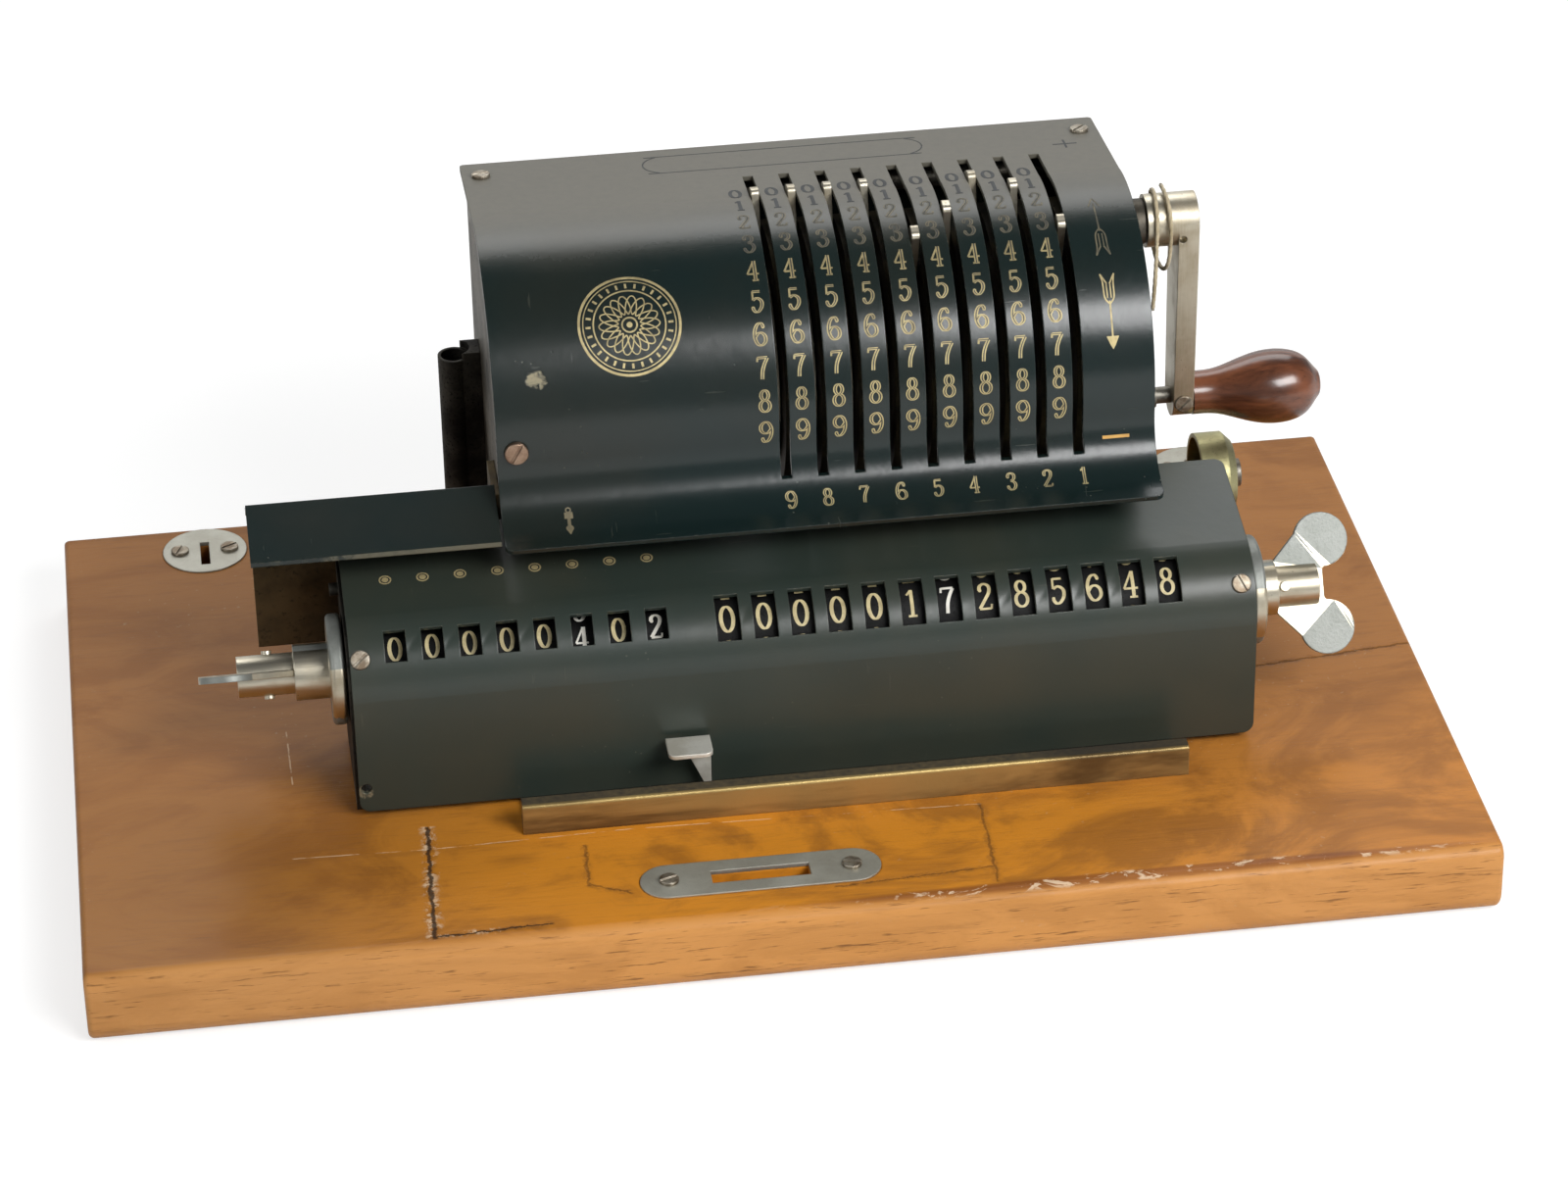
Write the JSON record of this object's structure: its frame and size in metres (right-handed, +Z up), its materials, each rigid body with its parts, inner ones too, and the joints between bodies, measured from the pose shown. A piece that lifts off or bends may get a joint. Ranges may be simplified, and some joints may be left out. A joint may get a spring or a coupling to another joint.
{
  "type": "pinwheel calculator",
  "caption": "Hand-cranked pinwheel calculating machine on a wooden board, with setting levers in slots, a sliding register carriage with wing nuts, and a crank with a turned grip.",
  "frame": {"origin": "middle of the board's underside, on the table", "axes": "+X along the machine towards the crank, +Y towards the back, +Z up"},
  "size_m": [0.376, 0.224, 0.1572],
  "materials": {
    "board_wood": "orange-brown varnish, worn",
    "keeper_steel": "aged, dull grey",
    "screw_metal": "worn",
    "black_lacquer": "semi-gloss, worn at the edges",
    "dark_sheet": "matt, dusty",
    "bronze_sheet": "browned",
    "frame_steel": "dull",
    "rail_bronze": "aged",
    "nickel": "satin, vertical brush marks",
    "bell_metal": "dull",
    "pinwheel_brass": "machined",
    "wheel_black": "satin, inlaid numerals",
    "grip_wood": "gloss varnish",
    "string_cotton": "twisted"
  },
  "bodies": {
    "frame": {"board": "board_wood", "keeper_plates": "keeper_steel", "plate_screws": "screw_metal", "bed_plate": "dark_sheet", "front_rail": "rail_bronze", "casing": "black_lacquer", "side_plates": "frame_steel", "cross_rods": "frame_steel", "rear_cover": "black_lacquer", "crank_bush": "nickel", "bell": "bell_metal", "rear_tube": "rail_bronze", "extension_cover": "black_lacquer", "extension_back": "bronze_sheet"},
    "drum": {"drum_shaft": "frame_steel", "pinwheels": "pinwheel_brass"},
    "crank": {"crank_shaft": "frame_steel", "crank_arm": "nickel", "crank_screw": "screw_metal", "tag_string": "string_cotton"},
    "handle_pull": {"lock_pin": "frame_steel"},
    "grip": {"grip": "grip_wood"},
    "carriage": {"carriage_cover": "black_lacquer", "carriage_screws": "screw_metal", "carriage_ends": "dark_sheet", "carriage_bar": "frame_steel"},
    "wing_right": {"wing_nut_right": "nickel"},
    "wing_left": {"wing_nut_left": "nickel"},
    "transfer": {"transfer_gears": "pinwheel_brass"},
    "release": {"release_lever": "nickel"},
    "lever_1": {"setting_lever_1": "nickel"},
    "lever_2": {"setting_lever_2": "nickel"},
    "lever_3": {"setting_lever_3": "nickel"},
    "lever_4": {"setting_lever_4": "nickel"},
    "lever_5": {"setting_lever_5": "nickel"},
    "lever_6": {"setting_lever_6": "nickel"},
    "lever_7": {"setting_lever_7": "nickel"},
    "lever_8": {"setting_lever_8": "nickel"},
    "lever_9": {"setting_lever_9": "nickel"},
    "result_wheel_1": {"result_wheel_1": "wheel_black"},
    "result_wheel_2": {"result_wheel_2": "wheel_black"},
    "result_wheel_3": {"result_wheel_3": "wheel_black"},
    "result_wheel_4": {"result_wheel_4": "wheel_black"},
    "result_wheel_5": {"result_wheel_5": "wheel_black"},
    "result_wheel_6": {"result_wheel_6": "wheel_black"},
    "result_wheel_7": {"result_wheel_7": "wheel_black"},
    "result_wheel_8": {"result_wheel_8": "wheel_black"},
    "result_wheel_9": {"result_wheel_9": "wheel_black"},
    "result_wheel_10": {"result_wheel_10": "wheel_black"},
    "result_wheel_11": {"result_wheel_11": "wheel_black"},
    "result_wheel_12": {"result_wheel_12": "wheel_black"},
    "result_wheel_13": {"result_wheel_13": "wheel_black"},
    "counter_wheel_1": {"counter_wheel_1": "wheel_black"},
    "counter_wheel_2": {"counter_wheel_2": "wheel_black"},
    "counter_wheel_3": {"counter_wheel_3": "wheel_black"},
    "counter_wheel_4": {"counter_wheel_4": "wheel_black"},
    "counter_wheel_5": {"counter_wheel_5": "wheel_black"},
    "counter_wheel_6": {"counter_wheel_6": "wheel_black"},
    "counter_wheel_7": {"counter_wheel_7": "wheel_black"},
    "counter_wheel_8": {"counter_wheel_8": "wheel_black"}
  },
  "joints": [
    {"name": "drum_turn", "type": "hinge", "parent": "frame", "child": "drum", "pos_m": [0, 0.0304, 0.11], "axis": [1, 0, 0], "continuous": true},
    {"name": "crank_turn", "type": "hinge", "parent": "frame", "child": "crank", "pos_m": [0.119, 0.044, 0.1348], "axis": [1, 0, 0], "continuous": true},
    {"name": "lever_1_set", "type": "hinge", "parent": "drum", "child": "lever_1", "pos_m": [0.0097, 0.0304, 0.11], "axis": [1, 0, 0], "range_deg": [0, 103.5]},
    {"name": "lever_2_set", "type": "hinge", "parent": "drum", "child": "lever_2", "pos_m": [0.0197, 0.0304, 0.11], "axis": [1, 0, 0], "range_deg": [0, 103.5]},
    {"name": "lever_3_set", "type": "hinge", "parent": "drum", "child": "lever_3", "pos_m": [0.0297, 0.0304, 0.11], "axis": [1, 0, 0], "range_deg": [0, 103.5]},
    {"name": "lever_4_set", "type": "hinge", "parent": "drum", "child": "lever_4", "pos_m": [0.0397, 0.0304, 0.11], "axis": [1, 0, 0], "range_deg": [0, 103.5]},
    {"name": "lever_5_set", "type": "hinge", "parent": "drum", "child": "lever_5", "pos_m": [0.0497, 0.0304, 0.11], "axis": [1, 0, 0], "range_deg": [-34.5, 69]},
    {"name": "lever_6_set", "type": "hinge", "parent": "drum", "child": "lever_6", "pos_m": [0.0597, 0.0304, 0.11], "axis": [1, 0, 0], "range_deg": [-23, 80.5]},
    {"name": "lever_7_set", "type": "hinge", "parent": "drum", "child": "lever_7", "pos_m": [0.0697, 0.0304, 0.11], "axis": [1, 0, 0], "range_deg": [0, 103.5]},
    {"name": "lever_8_set", "type": "hinge", "parent": "drum", "child": "lever_8", "pos_m": [0.0797, 0.0304, 0.11], "axis": [1, 0, 0], "range_deg": [-11.5, 92]},
    {"name": "lever_9_set", "type": "hinge", "parent": "drum", "child": "lever_9", "pos_m": [0.0897, 0.0304, 0.11], "axis": [1, 0, 0], "range_deg": [-34.5, 69]},
    {"name": "handle_pull_out", "type": "slide", "parent": "crank", "child": "handle_pull", "axis": [1, 0, 0], "range_m": [0, 0.004], "stiffness_N_per_m": 400, "springref_m": -0.002},
    {"name": "grip_spin", "type": "hinge", "parent": "handle_pull", "child": "grip", "pos_m": [0.15, 0.044, 0.0788], "axis": [1, 0, 0], "continuous": true},
    {"name": "carriage_shift", "type": "slide", "parent": "frame", "child": "carriage", "axis": [1, 0, 0], "range_m": [-0.02, 0.05]},
    {"name": "wing_right_turn", "type": "hinge", "parent": "carriage", "child": "wing_right", "pos_m": [0.14, -0.0305, 0.058], "axis": [1, 0, 0], "continuous": true},
    {"name": "wing_left_turn", "type": "hinge", "parent": "carriage", "child": "wing_left", "pos_m": [-0.12, -0.0305, 0.058], "axis": [1, 0, 0], "continuous": true},
    {"name": "result_wheel_1_turn", "type": "hinge", "parent": "carriage", "child": "result_wheel_1", "pos_m": [-0.0103, -0.0305, 0.058], "axis": [1, 0, 0], "continuous": true},
    {"name": "result_wheel_2_turn", "type": "hinge", "parent": "carriage", "child": "result_wheel_2", "pos_m": [-0.0003, -0.0305, 0.058], "axis": [1, 0, 0], "continuous": true},
    {"name": "result_wheel_3_turn", "type": "hinge", "parent": "carriage", "child": "result_wheel_3", "pos_m": [0.0097, -0.0305, 0.058], "axis": [1, 0, 0], "continuous": true},
    {"name": "result_wheel_4_turn", "type": "hinge", "parent": "carriage", "child": "result_wheel_4", "pos_m": [0.0197, -0.0305, 0.058], "axis": [1, 0, 0], "continuous": true},
    {"name": "result_wheel_5_turn", "type": "hinge", "parent": "carriage", "child": "result_wheel_5", "pos_m": [0.0297, -0.0305, 0.058], "axis": [1, 0, 0], "continuous": true},
    {"name": "result_wheel_6_turn", "type": "hinge", "parent": "carriage", "child": "result_wheel_6", "pos_m": [0.0397, -0.0305, 0.058], "axis": [1, 0, 0], "continuous": true},
    {"name": "result_wheel_7_turn", "type": "hinge", "parent": "carriage", "child": "result_wheel_7", "pos_m": [0.0497, -0.0305, 0.058], "axis": [1, 0, 0], "continuous": true},
    {"name": "result_wheel_8_turn", "type": "hinge", "parent": "carriage", "child": "result_wheel_8", "pos_m": [0.0597, -0.0305, 0.058], "axis": [1, 0, 0], "continuous": true},
    {"name": "result_wheel_9_turn", "type": "hinge", "parent": "carriage", "child": "result_wheel_9", "pos_m": [0.0697, -0.0305, 0.058], "axis": [1, 0, 0], "continuous": true},
    {"name": "result_wheel_10_turn", "type": "hinge", "parent": "carriage", "child": "result_wheel_10", "pos_m": [0.0797, -0.0305, 0.058], "axis": [1, 0, 0], "continuous": true},
    {"name": "result_wheel_11_turn", "type": "hinge", "parent": "carriage", "child": "result_wheel_11", "pos_m": [0.0897, -0.0305, 0.058], "axis": [1, 0, 0], "continuous": true},
    {"name": "result_wheel_12_turn", "type": "hinge", "parent": "carriage", "child": "result_wheel_12", "pos_m": [0.0997, -0.0305, 0.058], "axis": [1, 0, 0], "continuous": true},
    {"name": "result_wheel_13_turn", "type": "hinge", "parent": "carriage", "child": "result_wheel_13", "pos_m": [0.1097, -0.0305, 0.058], "axis": [1, 0, 0], "continuous": true},
    {"name": "counter_wheel_1_turn", "type": "hinge", "parent": "carriage", "child": "counter_wheel_1", "pos_m": [-0.0994, -0.0305, 0.058], "axis": [1, 0, 0], "continuous": true},
    {"name": "counter_wheel_2_turn", "type": "hinge", "parent": "carriage", "child": "counter_wheel_2", "pos_m": [-0.0894, -0.0305, 0.058], "axis": [1, 0, 0], "continuous": true},
    {"name": "counter_wheel_3_turn", "type": "hinge", "parent": "carriage", "child": "counter_wheel_3", "pos_m": [-0.0794, -0.0305, 0.058], "axis": [1, 0, 0], "continuous": true},
    {"name": "counter_wheel_4_turn", "type": "hinge", "parent": "carriage", "child": "counter_wheel_4", "pos_m": [-0.0694, -0.0305, 0.058], "axis": [1, 0, 0], "continuous": true},
    {"name": "counter_wheel_5_turn", "type": "hinge", "parent": "carriage", "child": "counter_wheel_5", "pos_m": [-0.0594, -0.0305, 0.058], "axis": [1, 0, 0], "continuous": true},
    {"name": "counter_wheel_6_turn", "type": "hinge", "parent": "carriage", "child": "counter_wheel_6", "pos_m": [-0.0494, -0.0305, 0.058], "axis": [1, 0, 0], "continuous": true},
    {"name": "counter_wheel_7_turn", "type": "hinge", "parent": "carriage", "child": "counter_wheel_7", "pos_m": [-0.0394, -0.0305, 0.058], "axis": [1, 0, 0], "continuous": true},
    {"name": "counter_wheel_8_turn", "type": "hinge", "parent": "carriage", "child": "counter_wheel_8", "pos_m": [-0.0294, -0.0305, 0.058], "axis": [1, 0, 0], "continuous": true},
    {"name": "transfer_turn", "type": "hinge", "parent": "carriage", "child": "transfer", "pos_m": [0.05, -0.002, 0.0644], "axis": [1, 0, 0], "continuous": true},
    {"name": "release_press", "type": "hinge", "parent": "carriage", "child": "release", "pos_m": [-0.0179, -0.038, 0.032], "axis": [1, 0, 0], "range_deg": [0, 8], "stiffness_Nm_per_rad": 0.5, "springref_deg": -2.86}
  ],
  "couplings": [
    {"joint": "crank_turn", "follows": "drum_turn", "ratio": -1}
  ]
}
